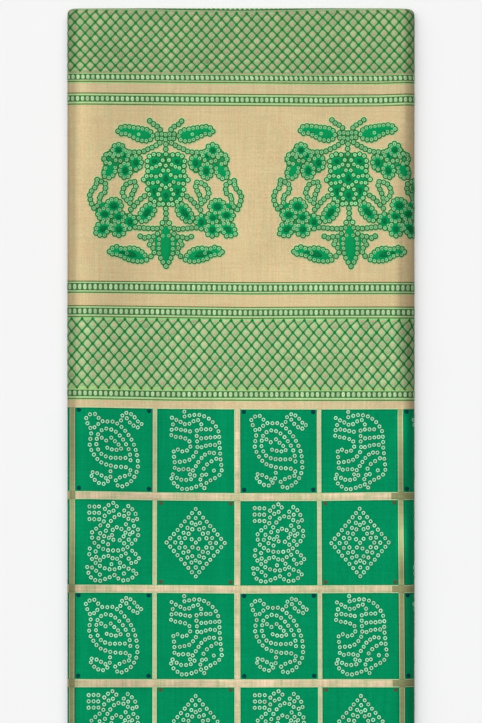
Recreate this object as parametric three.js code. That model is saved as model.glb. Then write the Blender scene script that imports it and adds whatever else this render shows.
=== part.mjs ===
// Banarasi dupatta, folded into a long flat packet.
// Units are millimetres. X runs across the packet, Y up its length and Z up from the surface it lies on.
// One rectangular length of cloth is folded to and fro across its length, and that stack of runs
// is then folded in three along its length, so the show side faces out on every side.
import * as THREE from 'three';

// Driving dimensions
const packet = { width: 305, length: 841 };
const cloth = { thickness: 1.0, gap: 0.5 };
const flapLength = 40;
const topCorner = { leftRadius: 5.3, rightRadius: 6.0 };

// How far each hidden edge of the cloth stops short of the fold that lies round it
const short = { secondRun: 6, lastRun: 9, middlePanel: 1.2, bottomPanel: 3.5 };

// How finely the sheet is divided
const steps = { acrossPanel: 5, leftFold: 8, rightFold: 10, endFold: 6, alongRun: 9 };

// How much lower the packet lies near its edges, where fewer or tighter layers hold it up
const slope = {
  left: { reach: 9, drop: 0.07 },
  right: { reach: 14, drop: 0.14 },
  top: { reach: 48, drop: 0.13 },
  bottom: { reach: 22, drop: 0.06 },
};

// Soft swells and hollows of the folded cloth, each a round hill: centre, reach and rise
const swells = [
  { x: -95, y: 330, reachX: 60, reachY: 110, rise: 0.9 },
  { x: 70, y: 250, reachX: 75, reachY: 90, rise: -0.7 },
  { x: 104, y: 395, reachX: 60, reachY: 50, rise: 0.6 },
  { x: -30, y: 90, reachX: 90, reachY: 70, rise: 0.7 },
  { x: 110, y: 20, reachX: 50, reachY: 120, rise: 0.6 },
  { x: -100, y: -80, reachX: 60, reachY: 90, rise: -0.6 },
  { x: 40, y: -190, reachX: 90, reachY: 100, rise: 0.8 },
  { x: -70, y: -320, reachX: 70, reachY: 70, rise: 0.5 },
];

// Stack of three runs: the show run outside, then the second and the last
const runPitch = cloth.thickness + cloth.gap;
const level = { show: runPitch, second: 0, last: -runPitch };
const stackHalf = runPitch + cloth.thickness / 2;
const panelPitch = 2 * stackHalf + cloth.gap;
const panelHeight = { bottom: stackHalf, middle: stackHalf + panelPitch, front: stackHalf + 2 * panelPitch };
const packetHeight = panelHeight.front + stackHalf;
const halfWidth = packet.width / 2;
const halfLength = packet.length / 2;

// Centre line of the cloth through the stack, as points { down, out, angle }: down the packet from
// its middle, out towards the show side, and the heading in which the cloth runs there.
function throughStack() {
  const bend = runPitch / 2;
  const reach = bend + cloth.thickness / 2;
  const top = -halfLength + reach;
  const bottom = halfLength - reach;
  const secondTop = -halfLength + flapLength + short.secondRun;
  const line = [];
  const straight = (from, to, out, count) => {
    const angle = to > from ? 0 : Math.PI;
    for (let step = 0; step <= count; step += 1) {
      line.push({ down: THREE.MathUtils.lerp(from, to, step / count), out, angle });
    }
  };
  const fold = (down, out, from, turn) => {
    for (let step = 1; step < steps.endFold; step += 1) {
      const angle = from + turn * Math.PI * (step / steps.endFold);
      line.push({ down: down + bend * turn * Math.sin(angle), out: out - bend * turn * Math.cos(angle), angle });
    }
  };
  const corner = Math.max(topCorner.leftRadius, topCorner.rightRadius);
  straight(-halfLength + flapLength, -halfLength + corner, level.second, 2);
  straight(-halfLength + corner / 2, top, level.second, 1);
  fold(top, bend, Math.PI, -1);
  straight(top, -halfLength + corner / 2, level.show, 1);
  straight(-halfLength + corner, -halfLength + flapLength, level.show, 2);
  straight(secondTop + reach, bottom, level.show, steps.alongRun);
  fold(bottom, bend, 0, -1);
  straight(bottom, secondTop + reach, level.second, steps.alongRun);
  fold(secondTop + reach, -bend, Math.PI, 1);
  straight(secondTop + reach, halfLength - short.lastRun, level.last, steps.alongRun);
  return line;
}

// Closed outline of the cloth's thickness round that centre line. X is out and Y is down the packet.
function stackSection() {
  const half = cloth.thickness / 2;
  const side = (sign) => throughStack().map(({ down, out, angle }) => new THREE.Vector2(
    out + sign * half * Math.cos(angle),
    down - sign * half * Math.sin(angle),
  ));
  return new THREE.Shape([...side(1), ...side(-1).reverse()]);
}

// The packet's cross section: middle panel, left fold, front panel, right fold and bottom panel.
// Its points lie close together round a fold and far apart on a panel.
class FoldInThree extends THREE.Curve {
  constructor() {
    super();
    this.stations = [];
    const leftBend = (panelHeight.front - panelHeight.middle) / 2;
    const rightBend = (panelHeight.front - panelHeight.bottom) / 2;
    const left = -halfWidth + leftBend + stackHalf;
    const right = halfWidth - rightBend - stackHalf;
    this.panel(right - short.middlePanel, left, panelHeight.middle);
    this.fold(left, panelHeight.middle + leftBend, leftBend, -1, steps.leftFold);
    this.panel(left, right, panelHeight.front);
    this.fold(right, panelHeight.bottom + rightBend, rightBend, 1, steps.rightFold);
    this.panel(right, -halfWidth + short.bottomPanel, panelHeight.bottom);
  }

  panel(from, to, z) {
    for (let step = 0; step <= steps.acrossPanel; step += 1) {
      const x = THREE.MathUtils.lerp(from, to, step / steps.acrossPanel);
      this.stations.push({ x, z, headingX: Math.sign(to - from), headingZ: 0 });
    }
  }

  fold(x, z, radius, side, count) {
    for (let step = 1; step < count; step += 1) {
      const turn = Math.PI * (step / count);
      const reachX = side * Math.sin(turn);
      const reachZ = side * Math.cos(turn);
      this.stations.push({ x: x + radius * reachX, z: z + radius * reachZ, headingX: reachZ, headingZ: -reachX });
    }
  }

  stationAt(t) {
    return this.stations[Math.round(t * (this.stations.length - 1))];
  }

  getUtoTmapping(u) {
    return u;
  }

  getPoint(t, target = new THREE.Vector3()) {
    const { x, z } = this.stationAt(t);
    return target.set(x, 0, z);
  }

  getTangent(t, target = new THREE.Vector3()) {
    const { headingX, headingZ } = this.stationAt(t);
    return target.set(headingX, 0, headingZ);
  }
}

// How far a rounded corner draws the side in at a distance from the top edge
function cornerInset(radius, fromTop) {
  const into = THREE.MathUtils.clamp(radius - fromTop, 0, radius);
  return radius - Math.sqrt(radius * radius - into * into);
}

// Share of the packet's height that is left at a place, from the slopes at its edges and the swells
function heightShare(x, y) {
  const edge = ({ reach, drop }, distance) => (
    1 - drop * (1 - THREE.MathUtils.smootherstep(distance, 0, reach))
  );
  const slopes = edge(slope.left, halfWidth + x) * edge(slope.right, halfWidth - x)
    * edge(slope.top, halfLength - y) * edge(slope.bottom, halfLength + y);
  let rise = 0;
  for (const swell of swells) {
    const distance = Math.hypot((x - swell.x) / swell.reachX, (y - swell.y) / swell.reachY);
    rise += swell.rise * Math.exp(-distance * distance);
  }
  return slopes * (1 + rise / packetHeight);
}

// Draws the top corners in and settles the upper layers, while the underside stays flat
function settle(geometry) {
  const position = geometry.getAttribute('position');
  for (let index = 0; index < position.count; index += 1) {
    const x = position.getX(index);
    const y = position.getY(index);
    const radius = x < 0 ? topCorner.leftRadius : topCorner.rightRadius;
    const inset = cornerInset(radius, halfLength - y);
    position.setX(index, x * (1 - inset / halfWidth));
    position.setZ(index, position.getZ(index) * heightShare(x, y));
  }
  geometry.computeVertexNormals();
  return geometry;
}

function foldedCloth() {
  const path = new FoldInThree();
  const geometry = new THREE.ExtrudeGeometry(stackSection(), {
    steps: path.stations.length - 1,
    extrudePath: path,
  });
  return settle(geometry);
}

const goldAndGreenSilk = new THREE.MeshStandardMaterial({ color: 0x4f9a62, roughness: 0.5, metalness: 0.15 });

const dupatta = new THREE.Mesh(foldedCloth(), goldAndGreenSilk);
dupatta.name = 'dupatta';

const group = new THREE.Group();
group.add(dupatta);

export default group;
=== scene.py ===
# Banarasi dupatta in green silk and gold thread, folded into a long flat packet.
# Sizes are millimetres until a mesh is made. A place on the cloth has two numbers: across, measured round
# the packet from the start of its left fold, and along, measured down the show side from the top fold.
import math

import bpy
import numpy as np
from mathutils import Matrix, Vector


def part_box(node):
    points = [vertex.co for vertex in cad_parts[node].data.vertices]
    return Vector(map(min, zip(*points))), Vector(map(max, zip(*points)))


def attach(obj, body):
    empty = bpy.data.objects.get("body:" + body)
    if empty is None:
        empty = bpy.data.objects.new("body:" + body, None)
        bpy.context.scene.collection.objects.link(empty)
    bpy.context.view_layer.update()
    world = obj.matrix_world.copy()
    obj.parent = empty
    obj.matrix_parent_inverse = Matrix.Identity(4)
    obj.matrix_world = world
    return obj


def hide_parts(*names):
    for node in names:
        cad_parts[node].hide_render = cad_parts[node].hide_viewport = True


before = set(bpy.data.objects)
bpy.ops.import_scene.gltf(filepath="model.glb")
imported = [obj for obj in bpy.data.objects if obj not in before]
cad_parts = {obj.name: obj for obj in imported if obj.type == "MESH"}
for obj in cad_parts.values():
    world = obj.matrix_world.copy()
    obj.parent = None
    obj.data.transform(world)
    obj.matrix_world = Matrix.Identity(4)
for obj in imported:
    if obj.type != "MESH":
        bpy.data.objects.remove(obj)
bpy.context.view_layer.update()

# Folded packet
MM = 0.001
packet_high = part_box("dupatta")[1]
HALF_WIDTH = packet_high[0] / MM
HALF_LENGTH = packet_high[1] / MM
SOLID_THICKNESS = 1.0
LAYER_GAP = 0.5
CLOTH_THICKNESS = 0.5
FLAP = 40.0
SHORT = {"second_run": 6.0, "last_run": 9.0, "middle_panel": 1.2, "bottom_panel": 3.5}
TOP_CORNER = {"left": 5.3, "right": 6.0}

RUN_PITCH = SOLID_THICKNESS + LAYER_GAP
STACK_HALF = RUN_PITCH + SOLID_THICKNESS / 2
PANEL_PITCH = 2 * STACK_HALF + LAYER_GAP
BOTTOM_Z = STACK_HALF
MIDDLE_Z = BOTTOM_Z + PANEL_PITCH
FRONT_Z = MIDDLE_Z + PANEL_PITCH
PACKET_HEIGHT = FRONT_Z + STACK_HALF
LEFT_BEND = (FRONT_Z - MIDDLE_Z) / 2
RIGHT_BEND = (FRONT_Z - BOTTOM_Z) / 2
LEFT_X = -HALF_WIDTH + LEFT_BEND + STACK_HALF
RIGHT_X = HALF_WIDTH - RIGHT_BEND - STACK_HALF
FRONT = RIGHT_X - LEFT_X
LEFT_ARC = math.pi * (LEFT_BEND + STACK_HALF)
RIGHT_ARC = math.pi * (RIGHT_BEND + STACK_HALF)
MIDDLE_PANEL = FRONT - SHORT["middle_panel"]
BOTTOM_PANEL = FRONT + LEFT_BEND + STACK_HALF - SHORT["bottom_panel"]
ACROSS_FROM = -LEFT_ARC - MIDDLE_PANEL
ACROSS_TO = FRONT + RIGHT_ARC + BOTTOM_PANEL
END_BEND = RUN_PITCH / 2
END_REACH = END_BEND + SOLID_THICKNESS / 2
SHOW_FACE = SOLID_THICKNESS / 2

RIGHT_FOLD_END = FRONT + RIGHT_ARC
SHOW_END = 2 * HALF_LENGTH

# The pattern is laid where it can be seen: over both long folds, the front and the underside
SEEN_FROM = -LEFT_ARC
SEEN_TO = ACROSS_TO - 0.4
# Between these two places the front panel has no creases and its meshes need only long steps
PLAIN_FROM = 14.0
PLAIN_TO = 264.0

# How much lower the packet lies near its edges: edge, reach, drop
SLOPES = (
    ("left", 9, 0.07),
    ("right", 14, 0.14),
    ("top", 48, 0.13),
    ("bottom", 22, 0.06),
)

# Soft swells and hollows of the packet: x, y, reach in x, reach in y, rise
SWELLS = (
    (-95, 330, 60, 110, 0.9),
    (70, 250, 75, 90, -0.7),
    (104, 395, 60, 50, 0.6),
    (-30, 90, 90, 70, 0.7),
    (110, 20, 50, 120, 0.6),
    (-100, -80, 60, 90, -0.6),
    (40, -190, 90, 100, 0.8),
    (-70, -320, 70, 70, 0.5),
)

# Creases of the front panel: x, y from, y to, half width, depth, sideways wander, length of the wander
CREASES = (
    (139.6, -420, 415, 2.6, 0.34, 0.7, 260),
    (147.2, -420, 400, 2.2, 0.42, 0.4, 330),
    (-144.6, -420, 380, 2.4, 0.26, 0.3, 300),
    (-141.0, -60, 330, 5.0, -0.18, 0.8, 210),
    (133.5, 40, 330, 3.4, -0.20, 0.8, 240),
)
# Over these lengths a crease fades at its lower and its upper end
CREASE_FADES = (40, 25)
# Ripples that run across the front panel: x, y, reach in x, half width in y, rise
RIPPLES = (
    (-20, 336, 120, 7, -0.18),
    (60, 182, 90, 6, 0.16),
    (-60, 160, 110, 6, -0.16),
    (40, 80, 140, 5, -0.16),
    (-90, -14, 60, 9, 0.18),
    (20, -86, 130, 7, -0.16),
    (-30, -168, 120, 8, -0.14),
    (70, -260, 90, 10, 0.16),
)
# How far ripples bow up the packet in their middle
RIPPLE_BOW = 3.0


def together(*rows):
    """Joins one array a coordinate into one array of points."""
    return np.stack(rows, axis=-1)


def smootherstep(distance, reach):
    share = np.clip(distance / reach, 0, 1)
    return share ** 3 * (share * (share * 6 - 15) + 10)


def corner_inset(radius, from_top):
    into = np.clip(radius - from_top, 0, radius)
    return radius - np.sqrt(radius ** 2 - into ** 2)


def height_share(x, y):
    """Share of the packet's height that is left at a place."""
    distance = {
        "left": HALF_WIDTH + x,
        "right": HALF_WIDTH - x,
        "top": HALF_LENGTH - y,
        "bottom": HALF_LENGTH + y,
    }
    share = 1.0
    for edge, reach, drop in SLOPES:
        share = share * (1 - drop * (1 - smootherstep(distance[edge], reach)))
    rise = 0.0
    for swell_x, swell_y, reach_x, reach_y, height in SWELLS:
        away = np.hypot((x - swell_x) / reach_x, (y - swell_y) / reach_y)
        rise = rise + height * np.exp(-away ** 2)
    return share * (1 + rise / PACKET_HEIGHT)


def front_relief(x, y):
    """Rise of the front panel's creases and ripples, in mm."""
    rise = 0.0
    for crease_x, low, high, half_width, depth, wander, wave in CREASES:
        middle = crease_x + wander * np.sin(2 * math.pi * (y - low) / wave)
        ends = smootherstep(y - low, CREASE_FADES[0]) * smootherstep(high - y, CREASE_FADES[1])
        rise = rise - depth * ends * np.exp(-((x - middle) / half_width) ** 2)
    for ripple_x, ripple_y, reach, half_width, height in RIPPLES:
        bow = RIPPLE_BOW * np.cos((x - ripple_x) / reach)
        across = np.exp(-((x - ripple_x) / reach) ** 2)
        rise = rise + height * across * np.exp(-((y - ripple_y - bow) / half_width) ** 2)
    return rise


def stack_line():
    """The cloth's line through the stack of three runs: along, down, out and heading, point by point."""
    legs = (
        ("run", FLAP - END_REACH),
        ("bend", -1),
        ("run", 2 * (HALF_LENGTH - END_REACH)),
        ("bend", -1),
        ("run", 2 * (HALF_LENGTH - END_REACH) - FLAP - SHORT["second_run"]),
        ("bend", 1),
        ("run", 2 * HALF_LENGTH - FLAP - SHORT["second_run"] - SHORT["last_run"] - END_REACH),
    )
    bend_steps = 24
    points = [(0.0, FLAP - HALF_LENGTH, 0.0, math.pi)]
    for kind, amount in legs:
        steps = bend_steps if kind == "bend" else 1
        turn = amount * math.pi / steps if kind == "bend" else 0.0
        chord = 2 * END_BEND * math.sin(abs(turn) / 2) if kind == "bend" else amount
        length = END_BEND * abs(turn) if kind == "bend" else amount
        for _ in range(steps):
            along, down, out, heading = points[-1]
            middle = heading + turn / 2
            points.append((
                along + length,
                down + chord * math.cos(middle),
                out + chord * math.sin(middle),
                heading + turn,
            ))
    line = np.array(points).T
    line[0] -= FLAP - END_REACH + math.pi * END_BEND / 2
    return line


STACK = stack_line()
ALONG_FROM = STACK[0][0]
ALONG_TO = STACK[0][-1]


def place(across, along, height):
    """Points of the folded cloth, in mm. Height is measured outwards from the middle of the solid's sheet."""
    down, out, heading = (np.interp(along, STACK[0], row) for row in STACK[1:])
    down = down - height * np.sin(heading)
    out = out + height * np.cos(heading)
    left_turn = np.clip(-across / (LEFT_BEND + STACK_HALF), 0, math.pi)
    right_turn = np.clip((across - FRONT) / (RIGHT_BEND + STACK_HALF), 0, math.pi)
    turn = right_turn - left_turn
    x = LEFT_X + np.clip(across, 0, FRONT) - LEFT_BEND * np.sin(left_turn) + RIGHT_BEND * np.sin(right_turn)
    x = x + np.maximum(-across - LEFT_ARC, 0) - np.maximum(across - FRONT - RIGHT_ARC, 0)
    z = FRONT_Z - LEFT_BEND * (1 - np.cos(left_turn)) - RIGHT_BEND * (1 - np.cos(right_turn))
    x = x + out * np.sin(turn)
    z = z + out * np.cos(turn)
    y = -down
    facing_up = np.clip(np.cos(turn), 0, 1)
    radius = np.where(x < 0, TOP_CORNER["left"], TOP_CORNER["right"])
    inset = corner_inset(radius, HALF_LENGTH - y)
    settled = z * height_share(x, y) + facing_up * front_relief(x, y)
    return together(x * (1 - inset / HALF_WIDTH), y, settled)


# How far the pattern lies from its straight places, row by row down the cloth: along, then a value at each
# place across. Rows of weft bow downwards in the middle, and columns spread a little.
DRIFT_ACROSS = (15, 85, 150, 220, 270, 294)
WEFT_DROP = (
    (0, 0.1, 1.5, 2.3, 1.1, 0.5, 0.0),
    (8, 0.1, 1.7, 2.6, 1.0, 0.1, -0.2),
    (20, 0.4, 2.0, 3.0, 1.2, 0.7, 0.5),
    (30, 0.6, 2.1, 3.1, 1.7, 1.4, 1.2),
    (40, 0.6, 1.6, 2.5, 1.8, 1.6, 1.4),
    (50, 0.4, 1.1, 1.8, 1.9, 1.9, 1.5),
    (61, 0.0, 0.7, 1.1, 1.7, 1.6, 0.8),
    (84, 0.0, 0.8, 1.2, 1.8, 1.6, 0.7),
    (96, -0.3, 0.1, 0.1, -0.6, -0.8, -0.8),
    (107, -0.3, 0.1, 0.1, -1.0, -2.0, -2.1),
    (124, -0.3, 0.1, 0.1, -0.2, -0.3, -0.2),
    (142, -0.1, 0.0, 0.7, 0.0, -0.2, 0.4),
    (160, 0.2, -0.2, 1.4, 0.0, -0.9, 0.4),
    (182, -0.1, 0.0, 1.0, 0.1, -1.2, -0.5),
    (204, -0.4, -0.2, 0.2, -0.5, -0.2, 0.3),
    (226, -0.3, -0.1, 0.3, -0.2, -0.3, 0.5),
    (238, -0.4, 0.3, 0.9, 0.8, 0.7, 0.7),
    (267, -0.6, 0.3, 1.1, 0.7, 0.6, 0.7),
    (310, -0.9, 0.2, 0.8, 0.4, 0.6, 0.9),
    (324, -0.5, 0.5, 0.7, 0.6, 0.8, 1.0),
    (340, -0.5, 0.8, 0.9, 1.0, 1.0, 1.0),
    (352, -0.9, 0.4, 0.9, 1.0, 0.8, 0.7),
    (430, -1.4, -0.1, 0.4, 0.2, -0.5, -0.6),
    (470, -0.9, 0.0, 0.7, 0.6, 0.0, -0.1),
    (500, -0.5, -0.1, 0.4, 0.2, 0.1, 0.0),
    (509, -0.4, -0.1, 0.4, 0.1, -0.2, -0.1),
    (592, -0.1, -0.1, 0.0, -0.2, -0.1, -0.1),
)
COLUMN_SHIFT = (
    (0, -0.1, -0.4, -0.9, -1.0, -0.6, -0.6),
    (20, 0.0, -0.3, -0.8, -1.0, -0.7, -0.7),
    (56, 0.1, -0.1, -0.6, -0.8, -0.5, -0.5),
    (60, 0.3, 0.7, 0.9, 0.5, 0.8, 0.9),
    (70, 0.4, 0.8, 1.0, 0.5, 0.8, 0.9),
    (84, 0.6, 1.1, 1.4, 0.7, 1.0, 1.0),
    (96, 0.6, 0.0, -1.6, -1.2, -2.6, -2.6),
    (115, 0.6, -0.2, -1.6, -1.2, -2.5, -2.6),
    (128, 0.0, -0.1, -0.5, -1.4, -2.1, -2.4),
    (142, 0.0, 0.0, -0.4, -1.0, -1.6, -2.2),
    (160, -0.5, 0.0, -0.1, -1.2, -1.3, -2.3),
    (182, -0.4, 0.0, -0.3, -0.2, -1.0, -1.9),
    (204, 0.0, -0.1, -0.6, 0.1, 0.1, -0.8),
    (226, 0.0, 0.1, 0.0, 1.9, 0.5, -3.0),
    (240, 0.7, 1.5, 1.9, 0.8, 1.0, 0.8),
    (250, 0.7, 1.5, 1.9, 0.8, 1.0, 0.8),
    (262, 0.2, 1.1, 1.6, 0.8, 1.2, 1.0),
    (270, 0.2, 1.1, 1.6, 0.8, 1.2, 1.0),
    (279, 0.0, 0.7, 0.1, -1.0, -1.4, -2.0),
    (296, 0.1, 0.8, 0.4, -0.4, -0.7, -1.0),
    (325, 0.1, 1.0, 0.9, 0.2, 0.0, -0.3),
    (332, 0.1, 1.0, 0.9, 0.2, 0.0, -0.3),
    (336, 0.5, 1.4, 1.9, 1.2, 1.4, 1.4),
    (344, 0.5, 1.4, 1.9, 1.2, 1.4, 1.4),
    (352, 0.2, 0.5, 0.2, -0.3, -0.9, -1.4),
    (370, 0.2, 0.5, 0.2, -0.3, -0.9, -1.3),
    (450, 0.2, 0.3, 0.5, 0.0, -0.5, -1.0),
    (528, -0.3, 0.2, 0.3, 0.5, 0.3, -0.2),
    (607, -0.5, 0.2, 0.5, 0.8, 0.7, 0.4),
)


def drift(table, across, along):
    """Reads a drift table at places of the pattern."""
    rows = np.array([np.interp(across, DRIFT_ACROSS, row[1:]) for row in table])
    level = np.interp(along, [row[0] for row in table], np.arange(len(table)))
    above = np.minimum(level.astype(int), len(table) - 2)
    share = level - above
    points = np.arange(len(across))
    return rows[above, points] * (1 - share) + rows[above + 1, points] * share


def woven(across, along):
    """Where a place of the straight pattern lies on the packet's cloth."""
    return across + drift(COLUMN_SHIFT, across, along), along + drift(WEFT_DROP, across, along)


def unwoven(across, along):
    """The place of the straight pattern that lies at a place on the packet's cloth."""
    straight_across, straight_along = across, along
    for _ in range(5):
        moved = woven(straight_across, straight_along)
        straight_across = straight_across + across - moved[0]
        straight_along = straight_along + along - moved[1]
    return straight_across, straight_along


# Painted shade of the cloth beside the long folds, where it turns away from the light, and a painted brighter
# strip just inside the left fold: distance from the left side, share
PAINTED_FOLD_SHADE = (
    (0, 0.55), (1.2, 0.58), (2.5, 0.66), (6, 0.70), (6.8, 0.77), (8.6, 0.95), (11, 1.03), (13, 1.08),
    (17, 1.06), (21, 0.99), (290, 1), (293.7, 0.97), (295.5, 0.92), (297.2, 0.79), (299, 0.68), (300.7, 0.59),
    (305, 0.55),
)
# Painted shade and light over parts of the show side, where the cloth undulates and turns at the folds, with
# uneven tone along some bars: x, y, reach in x, reach in y, change
PAINTED_SHADE_AND_TONE_SPOTS = (
    (-113, 230, 20, 160, -0.12),
    (-106, 184, 22, 28, -0.07),
    (-80, 336, 26, 22, -0.09),
    (-8, 226, 26, 90, 0.07),
    (43, 177, 38, 24, 0.10),
    (130, 333, 20, 30, -0.03),
    (140, 327, 6, 14, 0.08),
    (148, 119, 7, 34, -0.28),
    (141.2, 184, 4.4, 112, -0.33),
    (20, 75, 60, 8, 0.14),
    (-112, -7, 34, 5, -0.24),
    (-132, -87, 24, 5, -0.18),
    (-108, -172, 36, 5, -0.23),
    (-36, -172, 16, 5, -0.14),
    (-38, -87, 16, 5, 0.14),
    (-75.5, 28, 4, 40, -0.20),
    (-17, -50, 4, 140, 0.12),
    (141, 56, 4.5, 15, 0.62),
    (141, 1, 4.5, 14, -0.26),
    (141.2, -44, 4.5, 17, 0.72),
    (141.2, -74, 4.5, 11, -0.26),
    (142, -150, 5, 40, -0.16),
    (142, -196, 5, 22, -0.20),
    (-148, -21, 4.5, 28, 0.54),
    (-148, -132, 4.5, 16, -0.10),
    (-149, -195, 4.5, 14, 0.14),
    (148, 230, 6, 170, -0.10),
    (-100, 119, 60, 42, -0.05),
    (-111, 33, 36, 40, -0.035),
)


def shade(points):
    """Painted shade and light: share of brightness at points of the packet."""
    x, y = points[:, 0], points[:, 1]
    level = np.interp(x + HALF_WIDTH, *np.array(PAINTED_FOLD_SHADE).T)
    for spot_x, spot_y, reach_x, reach_y, change in PAINTED_SHADE_AND_TONE_SPOTS:
        away = np.hypot((x - spot_x) / reach_x, (y - spot_y) / reach_y)
        level = level * (1 + change * np.exp(-away ** 2))
    return level


# Meshes

def faces_of(grid):
    """Faces with four corners between neighbours in a grid of point numbers."""
    return together(grid[:-1, :-1], grid[:-1, 1:], grid[1:, 1:], grid[1:, :-1]).reshape(-1, 4)


def make_piece(name, points, faces, material, tones=1.0):
    mesh = bpy.data.meshes.new(name)
    mesh.from_pydata((points * MM).tolist(), [], faces)
    mesh.shade_smooth()
    # The Shade attribute holds painted shade and light, times each figure's own tone, as a change from 1
    change = (shade(points) * tones - 1).astype(np.float32)
    mesh.attributes.new("Shade", "FLOAT", "POINT").data.foreach_set("value", change)
    piece = bpy.data.objects.new(name, mesh)
    bpy.context.scene.collection.objects.link(piece)
    mesh.materials.append(material)
    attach(piece, "root")
    return piece


# Height of the edges of threads and figures, which lie in the cloth
SINK = -0.12
# Neighbouring domes take turns at this many heights, so that those which overlap don't flicker
STAGGER_STEPS = 7
# Cross sections of threads, as the shares of their width at which lanes of points lie
FLAT_THREAD = (-0.5, -0.36, 0.36, 0.5)
STEEP_THREAD = (-0.5, -0.3, 0.3, 0.5)
ROUND_THREAD = (-0.5, 0.0, 0.5)
WIDE_BAND = (-0.5, -0.46, -0.16, 0.16, 0.46, 0.5)
BEAD_STRIP = (-0.5, *np.linspace(-0.46, 0.46, 13), 0.5)


class Relief:
    """The raised threads or figures of one piece, charted on the straight pattern and laid on the cloth."""

    def __init__(self, name, draws=None, unevenness=0.0):
        self.name = name
        self.height, self.form, *self.look = THREADS[name]
        self.draws = draws
        self.unevenness = unevenness
        self.tone = 1.0
        self.points, self.tones, self.faces = [], [], []
        self.count = 0

    def add(self, points, faces):
        """points is (figures, points of one figure, 3), and faces index one figure's points."""
        figures, size = points.shape[:2]
        self.points.append(points.reshape(-1, 3))
        tones = np.broadcast_to(self.tone, figures)
        if self.draws is not None:
            tones = tones * self.draws.normal(1, self.unevenness, figures)
        self.tones.append(np.repeat(tones, size))
        for figure in range(figures):
            start = self.count + figure * size
            self.faces.extend([tuple(start + corner for corner in face) for face in faces])
        self.count += figures * size

    def ribbons(self, paths, width=None, height=None, lanes=FLAT_THREAD, base=SINK, closed=False):
        """Threads along paths, an array (threads, points, 2), with a cross section given by its lanes."""
        width = width or self.form
        if closed:
            heading = np.roll(paths, -1, axis=1) - np.roll(paths, 1, axis=1)
        else:
            heading = np.gradient(paths, axis=1)
        heading = heading / np.linalg.norm(heading, axis=-1, keepdims=True)
        side = together(-heading[..., 1], heading[..., 0])
        lanes = np.array(lanes)
        flat = paths[:, :, None, :] + side[:, :, None, :] * (lanes * width)[None, None, :, None]
        rise = np.where(np.abs(lanes) < 0.5, height or self.height, base)
        lift = np.broadcast_to(rise, flat.shape[:-1])
        points = np.concatenate([flat, lift[..., None]], axis=-1)
        grid = np.arange(paths.shape[1] * len(lanes)).reshape(-1, len(lanes))
        if closed:
            grid = np.vstack([grid, grid[:1]])
        self.add(points.reshape(len(paths), -1, 3), faces_of(grid).tolist())

    def round_threads(self, loops, base):
        """Round threads along closed loops, whose edges lie at the base."""
        self.ribbons(loops, lanes=ROUND_THREAD, base=base, closed=True)

    def domes(self, loops, stagger=0.0):
        """Low domes in closed loops, an array (domes, points, 2), whose outermost row lies in the cloth."""
        x, y = loops[..., 0], -loops[..., 1]
        turning = np.sum(x * np.roll(y, -1, axis=1) - y * np.roll(x, -1, axis=1), axis=1)
        loops = np.where((turning > 0)[:, None, None], loops, loops[:, ::-1])
        middle = loops.mean(axis=1, keepdims=True)
        lift = self.height + stagger * (np.arange(len(loops)) % STAGGER_STEPS)[:, None, None]
        rows = []
        for level, share in enumerate(self.form):
            flat = middle + (loops - middle) * share
            rise = np.broadcast_to(lift if level else SINK, flat.shape[:-1] + (1,))
            rows.append(np.concatenate([flat, rise], axis=-1))
        rows.append(np.concatenate([middle, lift], axis=-1))
        grid = np.arange(len(self.form) * loops.shape[1]).reshape(len(self.form), -1)
        grid = np.hstack([grid, grid[:, :1]])
        top = [(start, end, len(self.form) * loops.shape[1]) for start, end in zip(grid[-1], grid[-1, 1:])]
        self.add(np.concatenate(rows, axis=1), faces_of(grid).tolist() + top)

    def patch(self, outline):
        """Covers a closed outline with small squares, whose stepped edge lies under rings."""
        pitch = self.form
        low = outline.min(axis=0)
        counts = (np.ptp(outline, axis=0) / pitch).astype(int)
        x, y = np.meshgrid(*[low[i] + (np.arange(counts[i]) + 0.5) * pitch for i in (0, 1)])
        middles = together(x.ravel(), y.ravel())
        inside = np.zeros(len(middles), dtype=bool)
        for start, end in zip(outline, np.roll(outline, -1, axis=0)):
            level = (start[1] > middles[:, 1]) != (end[1] > middles[:, 1])
            rise = end[1] - start[1] or 1.0
            edge = start[0] + (middles[:, 1] - start[1]) / rise * (end[0] - start[0])
            inside ^= level & (middles[:, 0] < edge)
        corners = np.array(((-0.5, 0.5), (0.5, 0.5), (0.5, -0.5), (-0.5, -0.5))) * pitch
        flat = middles[inside, None] + corners
        lift = np.full((*flat.shape[:2], 1), self.height)
        self.add(np.concatenate([flat, lift], axis=-1), [(0, 1, 2, 3)])

    def piece(self):
        pattern = np.concatenate(self.points)
        across, along = woven(pattern[:, 0], pattern[:, 1])
        points = place(across, along, SHOW_FACE + pattern[:, 2])
        material = thread(self.name + "_thread", *self.look)
        return make_piece(self.name, points, self.faces, material, np.concatenate(self.tones))


def reliefs_of(*names, **evenness):
    return [Relief(name, **evenness) for name in names]


def pieces_of(*reliefs):
    return [relief.piece() for relief in reliefs]


def ovals(centres, half_width, half_height, sides, squareness=1.0):
    """Closed loops round centres, an array (loops, sides, 2). Less than 1 makes them squarer."""
    angle = np.arange(sides) * 2 * math.pi / sides
    loop = together(half_width * np.cos(angle), -half_height * np.sin(angle))
    loop = np.sign(loop) * np.abs(loop / (half_width, half_height)) ** squareness * (half_width, half_height)
    return np.asarray(centres, float)[:, None, :] + loop[None]


def rounds(centres, radius, sides):
    return ovals(centres, radius, radius, sides)


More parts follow.
